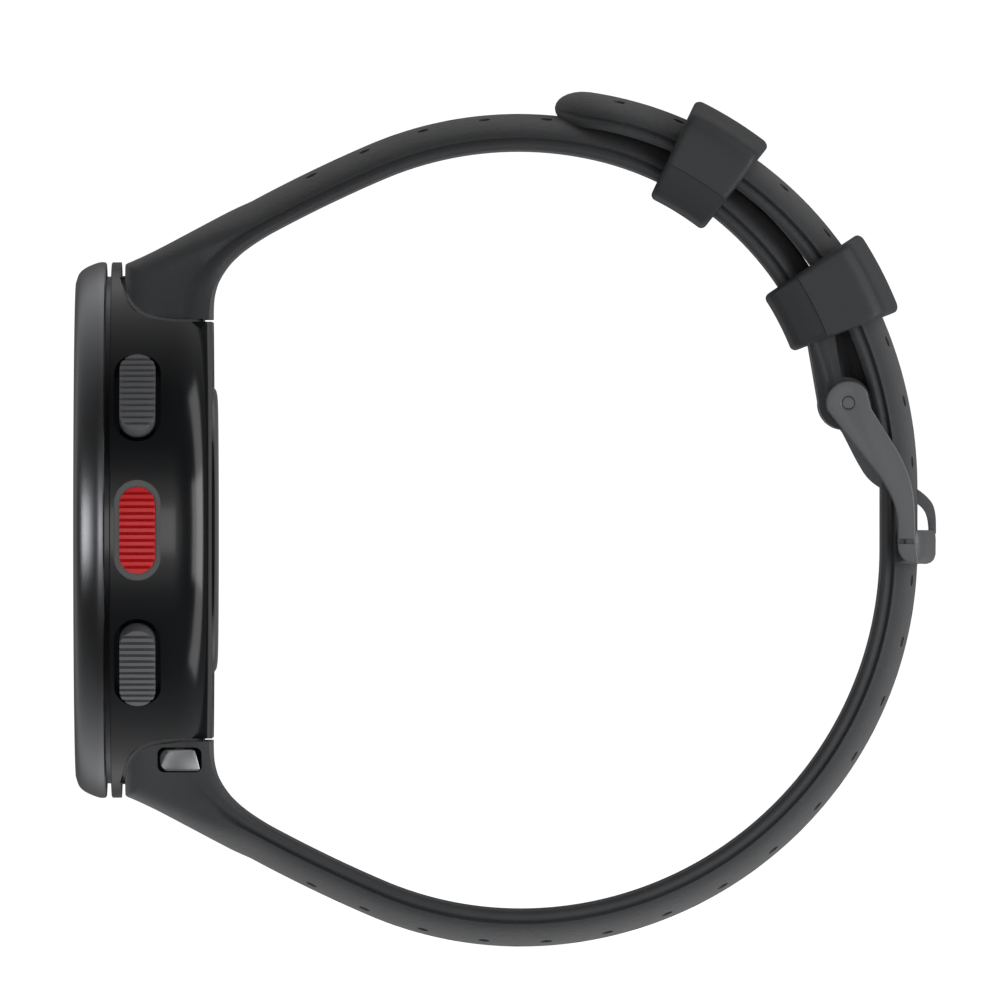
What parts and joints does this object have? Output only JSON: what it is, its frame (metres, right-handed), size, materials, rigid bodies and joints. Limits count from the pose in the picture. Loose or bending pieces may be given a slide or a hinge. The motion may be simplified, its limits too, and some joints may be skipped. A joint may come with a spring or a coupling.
{
  "type": "gps running watch",
  "caption": "Round sports watch with a flat display, side buttons, a raised wrist sensor and a perforated silicone strap buckled into a loop.",
  "frame": {"origin": "centre of the flat sensor window on the wrist side of the case", "axes": "+Z towards 12 o'clock, +X towards 3 o'clock, +Y out of the wrist side of the case, so the display faces -Y"},
  "size_m": [0.0459, 0.0723, 0.072],
  "materials": {
    "anodised_aluminium": "satin dark anodised",
    "case_plastic": "gloss black",
    "button_grey": "satin, ribbed",
    "button_red": "satin, ribbed",
    "silicone": "fine matte",
    "keeper_silicone": "matte",
    "buckle_metal": "satin dark grey coating",
    "steel": "bright",
    "lens_glass": "polished",
    "window_glass": "polished, smoked",
    "contact_gold": "plated",
    "seal_rubber": "matte",
    "circuit_board": "solder mask",
    "display_panel": "black",
    "battery_foil": "satin foil",
    "antenna_copper": "satin",
    "chip_plastic": "moulded"
  },
  "bodies": {
    "watch": {"bezel": "anodised_aluminium", "display_lens": "lens_glass", "display_module": "display_panel", "gnss_antenna": "antenna_copper", "case_middle": "case_plastic", "case_cover": "case_plastic", "cover_seal": "seal_rubber", "sensor_window": "window_glass", "sensor_board": "circuit_board", "cover_screw_1": "steel", "cover_screw_2": "steel", "cover_screw_3": "steel", "cover_screw_4": "steel", "charging_contact_1": "contact_gold", "charging_contact_2": "contact_gold", "charging_contact_3": "contact_gold", "charging_contact_4": "contact_gold", "main_board": "circuit_board", "processor_chip": "chip_plastic", "radio_shield": "steel", "vibration_motor": "steel", "battery": "battery_foil", "up_switch": "chip_plastic", "start_switch": "chip_plastic", "down_switch": "chip_plastic", "light_switch": "chip_plastic", "back_switch": "chip_plastic", "spring_bar_lower": "steel", "spring_bar_upper": "steel", "strap_short_half": "silicone", "strap_long_half": "silicone", "buckle_pin": "steel"},
    "up_button": {"up_button": "button_grey", "up_button_seal": "seal_rubber"},
    "start_button": {"start_button": "button_red", "start_button_seal": "seal_rubber"},
    "down_button": {"down_button": "button_grey", "down_button_seal": "seal_rubber"},
    "light_button": {"light_button": "button_grey", "light_button_seal": "seal_rubber"},
    "back_button": {"back_button": "button_grey", "back_button_seal": "seal_rubber"},
    "release_lever_lower": {"release_lever_lower": "steel"},
    "release_lever_upper": {"release_lever_upper": "steel"},
    "keeper_upper": {"keeper_upper": "keeper_silicone"},
    "keeper_lower": {"keeper_lower": "keeper_silicone"},
    "buckle_frame": {"buckle_frame": "buckle_metal"},
    "buckle_tongue": {"buckle_tongue": "buckle_metal"}
  },
  "joints": [
    {"name": "up_press", "type": "slide", "parent": "watch", "child": "up_button", "axis": [-0.866, 0, -0.5], "range_m": [0, 0.0005], "stiffness_N_per_m": 800},
    {"name": "start_press", "type": "slide", "parent": "watch", "child": "start_button", "axis": [-1, 0, 0], "range_m": [0, 0.0005], "stiffness_N_per_m": 800},
    {"name": "down_press", "type": "slide", "parent": "watch", "child": "down_button", "axis": [-0.866, 0, 0.5], "range_m": [0, 0.0005], "stiffness_N_per_m": 800},
    {"name": "light_press", "type": "slide", "parent": "watch", "child": "light_button", "axis": [0.866, 0, -0.5], "range_m": [0, 0.0005], "stiffness_N_per_m": 800},
    {"name": "back_press", "type": "slide", "parent": "watch", "child": "back_button", "axis": [0.866, 0, 0.5], "range_m": [0, 0.0005], "stiffness_N_per_m": 800},
    {"name": "release_lower", "type": "slide", "parent": "watch", "child": "release_lever_lower", "axis": [-1, 0, 0], "range_m": [0, 0.0012], "stiffness_N_per_m": 400},
    {"name": "release_upper", "type": "slide", "parent": "watch", "child": "release_lever_upper", "axis": [1, 0, 0], "range_m": [0, 0.0012], "stiffness_N_per_m": 400},
    {"name": "keeper_upper_slide", "type": "hinge", "parent": "watch", "child": "keeper_upper", "pos_m": [0, 0.02601, 0.00648], "axis": [1, 0, 0], "range_deg": [-8, 6]},
    {"name": "keeper_lower_slide", "type": "hinge", "parent": "watch", "child": "keeper_lower", "pos_m": [0, 0.02601, 0.00648], "axis": [1, 0, 0], "range_deg": [-2.5, 6]},
    {"name": "frame_pivot", "type": "hinge", "parent": "watch", "child": "buckle_frame", "pos_m": [0, 0.05284, 0.01065], "axis": [1, 0, 0], "range_deg": [0, 60]},
    {"name": "tongue_pivot", "type": "hinge", "parent": "watch", "child": "buckle_tongue", "pos_m": [0, 0.05284, 0.01065], "axis": [1, 0, 0], "range_deg": [-2, 2]}
  ]
}
